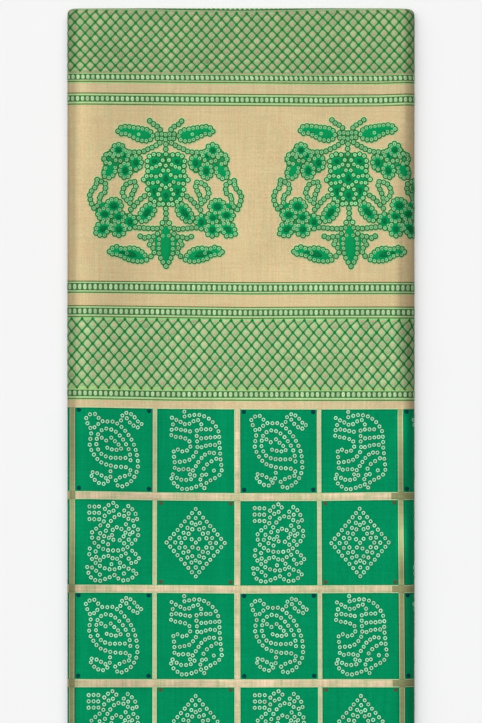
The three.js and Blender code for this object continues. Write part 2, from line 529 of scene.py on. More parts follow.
def smooth(places, closed):
    """A fine line through charted places."""
    knots = np.array(places, float)
    if closed:
        knots = np.concatenate([knots[-1:], knots, knots[:2]])
    else:
        knots = np.concatenate([2 * knots[:1] - knots[1:2], knots, 2 * knots[-1:] - knots[-2:-1]])
    share = np.linspace(0, 1, 9)[:, None]
    spans = []
    for before, start, end, after in zip(knots, knots[1:], knots[2:], knots[3:]):
        bend = 2 * before - 5 * start + 4 * end - after
        twist = 3 * start - before - 3 * end + after
        curve = (end - before) * share + bend * share ** 2 + twist * share ** 3
        spans.append((start + 0.5 * curve)[:-1])
    spans.append(knots[1:2] if closed else knots[-2:-1])
    return np.concatenate(spans)


def spaced(line, pitch, closed, stretch=1.0):
    """Evenly spaced places along a fine line. The stretch spaces them wider down the cloth than across."""
    across, down = np.diff(line, axis=0).T
    length = np.concatenate([[0], np.cumsum(np.hypot(across, down / stretch))])
    count = max(round(length[-1] / pitch), 1)
    marks = np.linspace(0, length[-1], count + 1)
    if closed:
        marks = marks[:-1]
    return together(*(np.interp(marks, length, row) for row in line.T))


def stations(start, *spans):
    """Places along a line from its start. Each span is (end, step), in even steps."""
    places = [start]
    for end, step in spans:
        count = max(1, round(abs(end - places[-1]) / step))
        places.extend(np.linspace(places[-1], end, count + 1)[1:])
    return np.array(places)


# Threads that run across take short steps round the two long folds
THREAD_STATIONS = stations(
    SEEN_FROM, (0, 1.1), (PLAIN_FROM, 2), (PLAIN_TO, 6), (RIGHT_FOLD_END, 1.4), (SEEN_TO, 9),
)
SHORTEST_STEP = 0.2
DOWN_STEP = 6


def across_path(along, start=SEEN_FROM, end=SEEN_TO):
    inside = (THREAD_STATIONS > start + SHORTEST_STEP) & (THREAD_STATIONS < end - SHORTEST_STEP)
    across = np.concatenate([[start], THREAD_STATIONS[inside], [end]])
    return together(across, np.full_like(across, along))[None]


def down_path(across, top, bottom):
    along = stations(top, (bottom, DOWN_STEP))
    return together(np.full_like(along, across), along)[None]


def seen(places, margin=2.0):
    """Those of the places that lie on seen cloth, a margin inside its two sides."""
    across = places[:, 0]
    return places[(across > SEEN_FROM + margin) & (across < SEEN_TO - margin)]


# Materials

# Scales of the noise in the cloth: its threads, the fuzz on them and wide patches
THREAD_SCALE = 620.0
FUZZ_SCALE = 1000.0
PATCH_SCALE = 22.0
ROUGHNESS_WAVER = 0.11


def colour(red, green, blue):
    """Linear colour from the usual 0 to 255 values."""
    values = []
    for value in (red, green, blue):
        share = value / 255
        values.append(share / 12.92 if share <= 0.04045 else ((share + 0.055) / 1.055) ** 2.4)
    return (*values, 1.0)


class Shader:
    """A material whose nodes are added one by one."""

    def __init__(self, name, roughness=0.5, specular=0.3, sheen=0.1, tint=(1.0, 1.0, 1.0, 1.0)):
        self.material = bpy.data.materials.new(name)
        self.material.use_nodes = True
        self.tree = self.material.node_tree
        self.surface = self.tree.nodes["Principled BSDF"]
        uniform = {
            "Roughness": roughness,
            "Specular IOR Level": specular,
            "Specular Tint": tint,
            "Sheen Weight": sheen,
            "Sheen Roughness": 0.4,
            "Sheen Tint": tint,
        }
        for socket, value in uniform.items():
            self.surface.inputs[socket].default_value = value

    def node(self, kind, inputs, output=0, **settings):
        """Adds a node, sets or links its inputs by name or number, and gives its output socket."""
        made = self.tree.nodes.new("ShaderNode" + kind)
        for setting, value in settings.items():
            setattr(made, setting, value)
        for socket, value in inputs.items():
            self.feed(made.inputs[socket], value)
        return made.outputs[output]

    def feed(self, socket, value):
        if isinstance(value, bpy.types.NodeSocket):
            self.tree.links.new(value, socket)
        else:
            socket.default_value = value

    def math(self, operation, *values):
        return self.node("Math", dict(enumerate(values)), operation=operation)

    def multiply(self, first, second):
        """The product of two colours."""
        colours = {0: 1.0, 6: first, 7: second}
        return self.node("Mix", colours, output=2, data_type="RGBA", blend_type="MULTIPLY")

    def noise(self, where, scale, detail=3.0, stretch=(1.0, 1.0, 1.0)):
        where = self.node("Mapping", {"Vector": where, "Scale": stretch})
        return self.node("TexNoise", {"Vector": where, "Scale": scale, "Detail": detail, "Roughness": 0.55})

    def ramp(self, factor, stops, interpolation="LINEAR"):
        """Stops are (position, colour)."""
        socket = self.node("ValToRGB", {0: factor})
        band = socket.node.color_ramp
        band.interpolation = interpolation
        while len(band.elements) < len(stops):
            band.elements.new(1.0)
        for element, (position, tint) in zip(band.elements, stops):
            element.position = position
            element.color = tint
        return socket


def finish_cloth(shader, base, spot, streak=0.10, patch=0.08, grain=0.12):
    """Thread streaks, uneven patches, the packet's painted shade and light, and the bump of the weave, as
    every piece has.
    """
    warp = shader.noise(spot, THREAD_SCALE, detail=4.0, stretch=(1.0, 0.03, 1.0))
    weft = shader.noise(spot, THREAD_SCALE, detail=3.0, stretch=(0.05, 1.0, 1.0))
    wide = shader.noise(spot, PATCH_SCALE)
    fine = shader.noise(spot, FUZZ_SCALE, detail=2.0)
    # Painted shade and light, read from the Shade attribute
    level = shader.math("ADD", shader.node("Attribute", {}, output=2, attribute_name="Shade"), 1.0)
    for source, amount in ((warp, streak), (weft, streak * 0.8), (wide, patch), (fine, grain)):
        level = shader.math("MULTIPLY", level, shader.math("MULTIPLY_ADD", source, amount * 2, 1 - amount))
    grey = shader.node("CombineColor", {0: level, 1: level, 2: level})
    shader.feed(shader.surface.inputs["Base Color"], shader.multiply(base, grey))
    roughness = shader.surface.inputs["Roughness"]
    least = roughness.default_value - ROUGHNESS_WAVER
    shader.feed(roughness, shader.math("MULTIPLY_ADD", warp, 2 * ROUGHNESS_WAVER, least))
    threads = shader.math("ADD", warp, shader.math("ADD", weft, fine))
    raised = shader.node("Bump", {"Height": threads, "Strength": 0.25, "Distance": 0.0004})
    shader.feed(shader.surface.inputs["Normal"], raised)
    return shader.material


def thread(name, main, second, speckle=400, *amounts):
    """A thread colour that wavers between two tints."""
    main, second = colour(*main), colour(*second)
    shader = Shader(name, tint=main)
    spot = shader.node("TexCoord", {}, output=3)
    mottle = shader.noise(spot, speckle, detail=2.0)
    base = shader.ramp(mottle, ((0.35, main), (0.65, second)))
    return finish_cloth(shader, base, spot, *amounts)


# What is woven into the cloth, with painted shadow round the squares' rings and painted shade along their
# edges. Piece: height above the cloth, form, two tints, and for some the fineness of their speckle and how
# strong their streaks and patches are. The form is a thread's width, the side of a patch's squares or, for
# domes, the share of the outline that each row of points has, outermost first. It is None where the width
# changes from place to place.
THREADS = {
    "band_lines": (0.16, 1.05, (92, 108, 56), (108, 108, 64)),
    "pale_lines": (0.11, 1.0, (176, 207, 154), (188, 207, 156)),
    "bead_strips": (0.06, None, (60, 107, 55), (75, 113, 63)),
    "strip_rims": (0.12, 0.7, (48, 104, 54), (68, 104, 56)),
    "band_beads": (0.26, (1.0, 0.86, 0.55, 0.25), (172, 212, 160), (186, 214, 166), 160),
    "bead_hearts": (0.33, (1.0, 0.5), (160, 176, 124), (118, 176, 112), 160),
    "lattice_threads": (0.16, 1.5, (50, 124, 68), (91, 106, 66), 500),
    "lattice_nodes": (0.20, (1.0, 0.7), (24, 120, 54), (36, 114, 52)),
    "lattice_hearts": (0.10, (1.0, 0.86), (153, 186, 130), (182, 169, 134), 420, 0.2),
    "lattice_dashes": (0.14, 1.1, (198, 158, 124), (176, 166, 120)),
    "gold_bars": (0.12, None, (186, 184, 140), (222, 198, 166), 80, 0.4, 0.3),
    "gold_uprights": (0.12, None, (177, 188, 147), (195, 192, 152), 120, 0.3),
    "side_uprights": (0.12, None, (184, 194, 136), (198, 194, 140), 120, 0.3),
    "bar_fringes": (0.15, 0.9, (168, 214, 164), (182, 214, 168)),
    # Painted shade: a dark rim along the edges of the squares, beside the raised bars
    "square_rim_shades": (0.07, 1.1, (4, 112, 66), (24, 106, 58)),
    "square_rings_front": (0.30, 1.22, (148, 228, 186), (168, 220, 186), 220),
    "square_rings_under": (0.30, 1.22, (148, 228, 186), (168, 220, 186), 220),
    "square_ring_wells": (0.07, (1.0, 0.8), (30, 104, 64), (96, 92, 76)),
    # Painted shadow: dark domes round each ring of the squares
    "square_ring_painted_shadows": (0.03, (1.0, 0.9), (10, 110, 66), (28, 102, 58)),
    "corner_dots_blue": (0.10, (1.0, 0.86, 0.45), (0, 72, 62), (8, 60, 66)),
    "corner_dots_brown": (0.10, (1.0, 0.86, 0.45), (60, 95, 60), (80, 84, 62)),
    "branch_halos": (0.04, (1.0, 0.94), (173, 198, 142), (189, 200, 148)),
    "branch_grounds": (0.06, 1.6, (20, 138, 78), (44, 138, 80)),
    "branch_outlines": (0.12, (1.0, 0.86), (28, 108, 54), (54, 106, 52)),
    "branch_fills": (0.20, (1.0, 0.96, 0.5), (8, 144, 80), (18, 138, 80)),
    "branch_cores": (0.25, (1.0, 0.86), (8, 104, 58), (14, 114, 62)),
    "branch_rings": (0.36, 1.15, (122, 194, 136), (146, 202, 146), 220),
    "branch_ring_hearts": (0.24, (1.0, 0.7), (110, 156, 98), (76, 136, 80), 220),
}

GOLD = colour(209, 188, 148)
PALE_GOLD = colour(205, 187, 150)
LEAF_GREEN = colour(132, 180, 125)
DULL_LEAF = colour(145, 166, 127)
OLIVE_LEAF = colour(160, 202, 136)
PALE_LEAF = colour(148, 208, 142)
MILD_LEAF = colour(142, 197, 140)
SILK_GREEN = colour(5, 137, 92)

# Bands of the patterned end, in mm along: upper line, strip of beads from, to, lower line. The beads follow:
# where one bead lies across, and their pitch
BANDS = (
    (None, -6.0, -0.4, None, 0.66, 4.343),
    (None, 57.6, 62.7, 64.2, 0.66, 4.343),
    (74.4, 76.6, 81.8, 84.1, -0.04, 4.354),
    (239.8, 241.6, 247.8, 249.6, 1.60, 4.498),
    (261.45, 263.4, 269.1, 271.1, 2.15, 4.494),
    (None, 335.3, 340.7, 343.0, 1.89, 4.515),
)

# Lattices: first full row, row pitch, column pitch, place of a column, first and last row, top and bottom
# edge, and where a row of short dashes lies
LATTICES = (
    (7.0, 4.76, 8.912, 2.52, -2, 10, 1.2, 55.5, 55.9),
    (278.45, 5.45, 9.27, 8.7, -1, 10, 272.1, 331.8, 332.9),
)

# Rows and columns of squares
ROW_TOPS = (351.3, 432.2, 513.3, 596.0, 678.9, 761.7, 844.5)
ROW_BAR = 7.7
ODD_ROW_BARS = {1: 7.45, 2: 7.35, 3: 7.55}
COLUMNS = 9
COLUMN_PITCH = 72.3
COLUMN_BAR = 4.6
ODD_BARS = {0: 5.3, 1: 4.2, 2: 5.7, 3: 4.3, 4: 5.2}
# Uprights that are dull, with their tones and how these change from row to row, and the one that shines gold
DIM_BARS = {0: 0.57, 4: 0.56}
DIM_ROWS = (1.0, 1.06, 0.92)
GOLD_COLUMN = 2
# The bars that run across are duller at the two folds: from, to, tone
BAR_SPANS = (
    (SEEN_FROM, 15.8, 0.88),
    (15.8, 280.8, 1.0),
    (RIGHT_FOLD_END, SEEN_TO, 1.0),
)
DIM_SPAN = (280.8, RIGHT_FOLD_END, 0.47)
BODY_FROM = 350.8

# Ground colours down the cloth: from, colour
GROUNDS = (
    (ALONG_FROM, SILK_GREEN),
    (-6.6, DULL_LEAF),
    (3.0, LEAF_GREEN),
    (52.0, DULL_LEAF),
    (56.0, OLIVE_LEAF),
    (64.5, PALE_GOLD),
    (74.2, OLIVE_LEAF),
    (84.2, GOLD),
    (239.3, PALE_LEAF),
    (249.8, GOLD),
    (261.0, PALE_LEAF),
    (272.3, MILD_LEAF),
    (330.8, OLIVE_LEAF),
    (335.0, PALE_LEAF),
    (343.2, PALE_GOLD),
    (BODY_FROM, SILK_GREEN),
)
PAST_LAST_ZONE = 60


def ground_material():
    """The cloth's own ground: gold, leaf green and deep green silk in zones down its length."""
    shader = Shader("dupatta_ground", specular=0.1, sheen=0.03, tint=(0.0, 0.4, 0.2, 1.0))
    pattern = shader.node("UVMap", {}, uv_map="Pattern")
    spot = shader.node("TexCoord", {}, output=3)
    along = shader.node("SeparateXYZ", {0: pattern}, output=1)
    reach = BODY_FROM + PAST_LAST_ZONE - ALONG_FROM
    share = shader.math("DIVIDE", shader.math("SUBTRACT", along, ALONG_FROM * MM), reach * MM)
    stops = [((start - ALONG_FROM) / reach, tint) for start, tint in GROUNDS]
    zones = shader.ramp(share, stops, "CONSTANT")
    warm = shader.noise(spot, scale=240.0, stretch=(1.0, 0.25, 1.0))
    tint = shader.ramp(warm, ((0.35, colour(255, 248, 240)), (0.7, colour(249, 255, 246))))
    return finish_cloth(shader, shader.multiply(zones, tint), spot, streak=0.16, patch=0.12, grain=0.28)


# The sheet of cloth

def lay_cloth(material):
    """The cloth, as an outer and an inner skin on its folds with a rim between their edges."""
    # Steps are short round the long folds, the top, the bottom and the bend between the second and last run
    top_bend = 1.2
    bottom_bend = SHOW_END + 1.1
    inner_bend = (ALONG_TO - 792, ALONG_TO - 782)
    across = stations(
        ACROSS_FROM, (SEEN_FROM, 42), (0, 0.95), (PLAIN_FROM, 1.4), (PLAIN_TO, 6), (FRONT, 1.3),
        (RIGHT_FOLD_END, 1.3), (RIGHT_FOLD_END + 20, 5), (ACROSS_TO, 12),
    )
    along = stations(
        ALONG_FROM, (-top_bend, 10), (top_bend, 0.3), (12, 1.5), (SHOW_END - 6, 6), (SHOW_END - 1.3, 1.2),
        (bottom_bend, 0.3), (inner_bend[0], 60), (inner_bend[1], 0.5), (ALONG_TO, 60),
    )
    grid_across, grid_along = (places.ravel() for places in np.meshgrid(across, along, indexing="ij"))
    skins = [place(grid_across, grid_along, SHOW_FACE - depth) for depth in (0, CLOTH_THICKNESS)]
    inner = len(skins[0])
    grid = np.arange(inner).reshape(len(across), len(along))
    outside = faces_of(grid)
    faces = np.stack([outside, inner + outside[:, ::-1]], axis=1).reshape(-1, 4)
    edge = np.concatenate([grid[:, 0], grid[-1, 1:], grid[-2::-1, -1], grid[0, -2:0:-1]])
    ahead = np.roll(edge, -1)
    rim = together(edge, ahead, inner + ahead, inner + edge)
    every_face = np.concatenate([faces, rim]).tolist()
    cloth = make_piece("dupatta_cloth", np.concatenate(skins), every_face, material)

    pattern = np.tile(together(*unwoven(grid_across, grid_along)) * MM, (2, 1))
    corners = np.empty(len(cloth.data.loops), dtype=np.int64)
    cloth.data.loops.foreach_get("vertex_index", corners)
    cloth.data.uv_layers.new(name="Pattern").data.foreach_set("uv", pattern[corners].ravel())

    # Most of the baked picture goes to the cloth that can be seen. The inner skin has a strip at its right,
    # and the rim a narrow strip beside that.
    margin = 0.004
    rim_from, rim_width = 0.96, 0.012
    wide = np.interp(grid_across, (ACROSS_FROM, SEEN_FROM, ACROSS_TO), (margin, 0.03, 0.80))
    strip = np.interp(grid_across, (ACROSS_FROM, ACROSS_TO), (0.82, 0.94))
    levels = (margin, 0.02, 0.93, 1 - margin)
    tall = np.interp(grid_along, (ALONG_FROM, -top_bend, bottom_bend, ALONG_TO), levels)
    spread = np.concatenate([together(wide, tall), together(strip, tall)])[corners]
    lap = (np.arange(len(edge))[:, None] + (0, 1, 1, 0)).ravel() / len(edge)
    spread[faces.size:, 0] = rim_from + rim_width * np.tile((0, 0, 1, 1), len(edge))
    spread[faces.size:, 1] = margin + (1 - 2 * margin) * lap
    cloth.data.uv_layers.new(name="OFBake").data.foreach_set("uv", spread.ravel())
    return cloth


# Woven bands and lattices

# How far inside a line its pale neighbour lies, and inside a strip's edge its rim
PALE_LINE_INSIDE = 1.25
RIM_INSIDE = 0.2
# Beads: half width, how far they stop short of the strip's edges and of the seen cloth's, and squareness
BEAD_HALF_WIDTH = 1.62
BEAD_INSIDE = 0.35
BEAD_MARGIN = 1.8
BEAD_SQUARENESS = 0.72
# Their hearts: half width, and half height as a share of the strip's
BEAD_HEART_HALF_WIDTH = 0.55
BEAD_HEART_SHARE = 0.16
# Beads above this place are a little brighter than those below it, and the hearts of the lattice duller
UPPER_END = 80
BEAD_TONES = {"upper": 0.94, "lower": 0.90}
LATTICE_TONES = {"upper": 0.93, "lower": 1.08}


def side_of(along):
    return "upper" if along < UPPER_END else "lower"


def band_pieces(draws):
    lines, pale_lines, strips, rims = reliefs_of("band_lines", "pale_lines", "bead_strips", "strip_rims")
    beads, hearts = reliefs_of("band_beads", "bead_hearts", draws=draws, unevenness=0.08)
    for upper, strip_from, strip_to, lower, first, pitch in BANDS:
        for along, side in ((upper, 1), (lower, -1)):
            if along is not None:
                lines.ribbons(across_path(along))
                pale_lines.ribbons(across_path(along + side * PALE_LINE_INSIDE))
        depth = strip_to - strip_from
        middle = (strip_from + strip_to) / 2
        strips.ribbons(across_path(middle), depth, lanes=BEAD_STRIP)
        for along in (strip_from + RIM_INSIDE, strip_to - RIM_INSIDE):
            rims.ribbons(across_path(along))
        first += pitch * math.ceil((SEEN_FROM + BEAD_MARGIN - first) / pitch)
        places = np.arange(first, SEEN_TO - BEAD_MARGIN, pitch)
        centres = together(places, np.full_like(places, middle))
        beads.tone = BEAD_TONES[side_of(strip_from)]
        half_height = depth / 2 - BEAD_INSIDE
        beads.domes(ovals(centres, BEAD_HALF_WIDTH, half_height, sides=10, squareness=BEAD_SQUARENESS))
        hearts.domes(ovals(centres, BEAD_HEART_HALF_WIDTH, depth * BEAD_HEART_SHARE, sides=6))
    return pieces_of(lines, pale_lines, strips, rims, beads, hearts)


# Half width and half height of a lattice's knots, and of its hearts as shares of the pitches
KNOT = (1.75, 1.95)
HEART_SHARES = (0.29, 0.54)
# How far the hearts stay from the lattice's two edges, the least height of one, and half a dash's length
HEARTS_INSIDE = (0.7, 0.5)
LEAST_HEART = 1.0
DASH_REACH = 2.3


def lattice_pieces(draws):
    threads, nodes, dashes = reliefs_of("lattice_threads", "lattice_nodes", "lattice_dashes")
    hearts = Relief("lattice_hearts", draws, unevenness=0.08)
    for first, row_pitch, column_pitch, column, first_row, last_row, top, bottom, dash_row in LATTICES:
        half = column_pitch / 2
        low = math.floor((SEEN_FROM - column) / half)
        high = math.ceil((SEEN_TO - column) / half)
        steps = np.meshgrid(np.arange(first_row, last_row + 1), np.arange(low, high + 1), indexing="ij")
        rows, columns = (places.ravel() for places in steps)
        places = together(column + columns * half, first + rows * row_pitch)
        crossed = (rows + columns) % 2 == 1
        crossings, cells = places[crossed], places[~crossed]

        # Two threads run down from every crossing, one to each side
        starts = np.repeat(crossings[rows[crossed] < last_row], 2, axis=0)
        ends = starts + np.tile(((-half, row_pitch), (half, row_pitch)), (len(starts) // 2, 1))
        cut = np.clip((top - starts[:, 1]) / row_pitch, 0, 1)[:, None]
        starts = starts + (ends - starts) * cut
        inside = (np.minimum(starts, ends)[:, 0] > SEEN_FROM) & (np.maximum(starts, ends)[:, 0] < SEEN_TO)
        inside &= starts[:, 1] < ends[:, 1] - SHORTEST_STEP
        starts, ends = starts[inside, None], ends[inside, None]
        middles = (starts + ends)[:, 0, 0] / 2
        folded = (middles < PLAIN_FROM - 2) | ((middles > PLAIN_TO + 2) & (middles < RIGHT_FOLD_END + 4))
        for chosen, count in ((folded, 6), (~folded, 3)):
            share = np.linspace(0, 1, count)[None, :, None]
            threads.ribbons(starts[chosen] * (1 - share) + ends[chosen] * share, lanes=STEEP_THREAD)

        nodes.domes(ovals(seen(crossings[crossings[:, 1] > top]), *KNOT, sides=4))
        across_share, along_share = HEART_SHARES
        loops = ovals(seen(cells, half), column_pitch * across_share, row_pitch * along_share, sides=8)
        loops[..., 1] = np.clip(loops[..., 1], top + HEARTS_INSIDE[0], bottom - HEARTS_INSIDE[1])
        hearts.tone = LATTICE_TONES[side_of(top)]
        hearts.domes(loops[np.ptp(loops[..., 1], axis=1) > LEAST_HEART])
        for across in column + half + np.arange(low // 2 + 1, high // 2) * column_pitch:
            dashes.ribbons(across_path(dash_row, across - DASH_REACH, across + DASH_REACH))
    return pieces_of(threads, nodes, hearts, dashes)


# Squares of the body

def bar_width(column):
    return ODD_BARS.get(column, COLUMN_BAR)


def bar_height(row):
    """Height of the bar above a row of squares."""
    return ODD_ROW_BARS.get(row, ROW_BAR)


def square_grid():
    """Corners of every square: column, row, left, top, right, bottom."""
    squares = []
    for row, (top, next_top) in enumerate(zip(ROW_TOPS, ROW_TOPS[1:])):
        for column in range(-1, COLUMNS):
            left = column * COLUMN_PITCH + bar_width(column) / 2
            right = (column + 1) * COLUMN_PITCH - bar_width(column + 1) / 2
            squares.append((column, row, left, top, right, next_top - bar_height(row + 1)))
    return squares


# How much narrower than their room the bars are, how far an upright reaches past its square's top and bottom,
# and how far outside a square its fringe and its rim of painted shade lie
BAR_INSIDE = 0.4
UPRIGHT_INSIDE = 0.5
UPRIGHT_REACH = (0.4, 0.1)
FRINGE_OUTSIDE = 0.5
RIM_OUTSIDE = -0.25
# Where a bar crosses a dim upright it lies a little higher and is duller still
CROSSING_HEIGHT = 0.14
CROSSING_TONE = 0.85
# Fringes and the rims of painted shade are duller along the squares on the right fold, and beside a dim
# upright
FOLD_FRINGE_TONE = 0.76
DIM_FRINGE_TONE = 0.82


def bar_pieces():
    bars, uprights, side_uprights = reliefs_of("gold_bars", "gold_uprights", "side_uprights")
    # The squares' rims are painted shade beside the bars
    fringes, rims = reliefs_of("bar_fringes", "square_rim_shades")
    for row, top in enumerate(ROW_TOPS[1:], 1):
        middle = top - bar_height(row) / 2
        width = bar_height(row) - BAR_INSIDE
        for relief, spans in ((bars, BAR_SPANS), (side_uprights, [DIM_SPAN])):
            for start, end, tone in spans:
                relief.tone = tone
                relief.ribbons(across_path(middle, start, end), width, lanes=WIDE_BAND)
        for column, tone in DIM_BARS.items():
            reach = bar_width(column) / 2
            across = column * COLUMN_PITCH
            side_uprights.tone = tone * CROSSING_TONE
            crossing = across_path(middle, across - reach, across + reach)
            side_uprights.ribbons(crossing, width, CROSSING_HEIGHT, lanes=WIDE_BAND)
    special = {column: side_uprights for column in DIM_BARS} | {GOLD_COLUMN: bars}
    for column in range(COLUMNS):
        relief = special.get(column, uprights)
        for row, (top, next_top) in enumerate(zip(ROW_TOPS, ROW_TOPS[1:])):
            bottom = next_top - bar_height(row + 1)
            path = down_path(column * COLUMN_PITCH, top - UPRIGHT_REACH[0], bottom + UPRIGHT_REACH[1])
            relief.tone = DIM_BARS[column] * DIM_ROWS[min(row, 2)] if column in DIM_BARS else 1.0
            relief.ribbons(path, bar_width(column) - UPRIGHT_INSIDE, lanes=WIDE_BAND)
    for column, row, left, top, right, bottom in square_grid():
        west, east = max(left, SEEN_FROM), min(right, SEEN_TO)
        for relief, outside in ((fringes, FRINGE_OUTSIDE), (rims, RIM_OUTSIDE)):
            relief.tone = FOLD_FRINGE_TONE if column == max(DIM_BARS) else 1.0
            for along in (top - outside, bottom + outside):
                relief.ribbons(across_path(along, west, east))
            for across, bar in ((left - outside, column), (right + outside, column + 1)):
                if SEEN_FROM < across < SEEN_TO:
                    relief.tone = DIM_FRINGE_TONE if bar in DIM_BARS else 1.0
                    relief.ribbons(down_path(across, top, bottom))
    return pieces_of(bars, uprights, side_uprights, fringes, rims)


# Figures of the squares, charted in mm across and down from the square's corner. Each line of places carries
# rings. A line that ends where it starts is closed, and a single place has one ring.
COILED_BIRD = (
    ((24, 11), (16.5, 4.5), (9.5, 9), (14, 19.5), (13, 33.5), (21, 46), (33, 50.5), (45, 51.5), (49, 56.5),
        (40.5, 60), (35.5, 63), (39, 68.5), (48.5, 64), (54, 54.5), (54.5, 44), (51.5, 31.5), (44.5, 20),
        (34.5, 11.5), (24, 11)),
    ((20, 13.5), (17, 16.5)),
    ((27, 28), (20, 22.5), (26.5, 17.5), (34.5, 19.5), (41.5, 26.5), (47, 36), (48.5, 45)),
    ((19, 26.5), (19, 33), (23, 40), (31, 43), (44, 43)),
    ((31.5, 25.5), (38, 31.5), (40, 35), (34, 36), (28, 34.5)),
    ((40, 10), (41, 6), (46, 3), (51, 6), (55, 11), (58, 12.5), (54, 16), (48, 12), (45, 8)),
    ((31, 55), (30, 62), (24, 66.5), (17, 63), (13.5, 57), (18, 56.5), (27, 61)),
)
ELEPHANT = (
    ((24, 2.5), (24, 7), (31, 5.5), (40, 6), (48, 11), (54, 20), (55, 33), (56, 46), (56.5, 56), (49.5, 62),
        (44, 64.5), (41.5, 70)),
    ((38.5, 67), (31, 70), (22, 71), (14, 65), (13, 58), (20, 62.5), (29, 62.5), (33, 59)),
    ((29, 58), (33.5, 51.5), (39.5, 43), (45, 39), (50, 39)),
    ((38, 62.5), (40, 58), (43, 58)),
    ((41, 53), (45, 48), (52, 44)),
    ((27.5, 53.5), (22, 53.5), (16, 53.5), (15.5, 45.5), (14.5, 38), (18, 36), (24, 38), (29, 34), (28, 28),
        (21, 25.5), (12.5, 23.5), (14, 14)),
    ((17, 18), (29, 20)),
    ((13, 8), (19, 11), (26, 14), (32, 11)),
    ((36, 10), (39, 14), (39, 18), (35, 19), (35, 28), (35, 37), (28.5, 45), (20, 47)),
    ((43, 18), (47, 18)),
    ((39, 26), (51, 25)),
    ((39, 34), (45, 32), (51, 32)),
    ((50, 54.5),),
)
DANCER_BIRD = (
    ((11.5, 5), (20, 5)),
    ((11.5, 10.5), (20, 10.5)),
    ((11.5, 16), (20, 16)),
    ((25, 7), (28.5, 3.5), (33, 1.5), (35.5, 4.5), (33, 8), (29.5, 10), (25, 7)),
    ((25, 13), (23.5, 19), (16.5, 25), (13.5, 29), (16, 36.5), (23, 41.5), (32, 43), (41, 42), (48, 37.5),
        (53.5, 31), (54.5, 25.5), (50.5, 21.5)),
    ((45.5, 4), (51, 9), (53, 16.5), (47, 16), (40, 12), (34, 13.5), (28, 21), (25, 29), (23.5, 35.5)),
    ((42, 8), (46, 10.5)),
    ((21, 28), (19.5, 32.5)),
    ((28.5, 32), (33, 33.5), (31, 28), (34, 23), (39.5, 24), (45, 28.5), (50, 28), (46, 24), (43.5, 20)),
    ((41.5, 30.5), (38, 33.5), (41, 37), (46, 33.5)),
    ((28, 37.5),),
    ((12, 41.5), (12, 48), (17.5, 54), (25, 58.5), (33, 59.5), (38, 58)),
    ((17, 44), (18, 49.5), (22, 51.5), (25, 48), (30, 48), (34, 51), (39, 48), (43.5, 45.5)),
    ((31, 55),),
    ((38.5, 53.5), (43, 57.5), (49, 60), (53, 62), (50, 66), (44, 69), (38, 68), (34, 64.5), (28, 67),
        (19.5, 69.5), (12.5, 66), (10, 57.5), (15, 58.5), (21, 64)),
    ((46, 50), (49, 54), (55, 50), (49, 43)),
    ((42, 63),),
)
# Diamonds of rings: half width, half height, rings a side
DIAMONDS = ((25.5, 29.6, 8), (17.9, 21.7, 5), (12.5, 15.7, 4))
DIAMOND_MIDDLE = (33.9, 36.3)
DIAMOND_HEART = ((0, 0), (-3.6, -3.1), (3.2, -3.4), (-2.9, 3.9), (2.3, 5.0))
RING_PITCH = 4.35
RING_STRETCH = 1.13


def figure_rings(lines):
    rings = []
    for places in lines:
        closed = places[0] == places[-1]
        if len(places) == 1:
            rings.append(np.array(places, float))
        else:
            line = smooth(places[:-1] if closed else places, closed)
            rings.append(spaced(line, RING_PITCH, closed, RING_STRETCH))
    return np.concatenate(rings)


def diamond_rings():
    middle = np.array(DIAMOND_MIDDLE)
    rings = [middle + np.array(DIAMOND_HEART)]
    for half_width, half_height, count in DIAMONDS:
        tips = np.array(((0, -half_height), (half_width, 0), (0, half_height), (-half_width, 0)))
        for tip, ahead in zip(tips, np.roll(tips, -1, axis=0)):
            share = np.arange(count)[:, None] / count
            rings.append(middle + tip * (1 - share) + ahead * share)
    return np.concatenate(rings)


# How far the figures lie from their charted places: row and column of the repeat, across, down
FIGURE_SHIFT = {(0, 0): (-0.05, 0.5), (0, 1): (-0.25, -0.8), (1, 0): (0.9, 1.15), (1, 1): (-0.15, 0.25)}
# How much lower they lie in each row of squares, the last value for every row after it
ROW_SHIFTS = (0.3, 0.0, 0.8, 0.55)
# Rings of the squares: radius to the middle of the thread, how much taller than wide they are, and how high
# the edges of the thread lie
RING_RADIUS = 1.29
RING_TALLER = 1.06
RING_BASE = -0.05
RING_STRAYING = 0.08
RING_SIZES = (0.95, 1.05)
# Half width and half height of the dark dome of painted shadow round each ring
RING_SHADOW_HALVES = (2.58, 2.78)
WELL_RADIUS = 0.88
DOT = {"radius": 2.2, "across": 3.1, "from_top": 1.9, "from_bottom": 2.7}


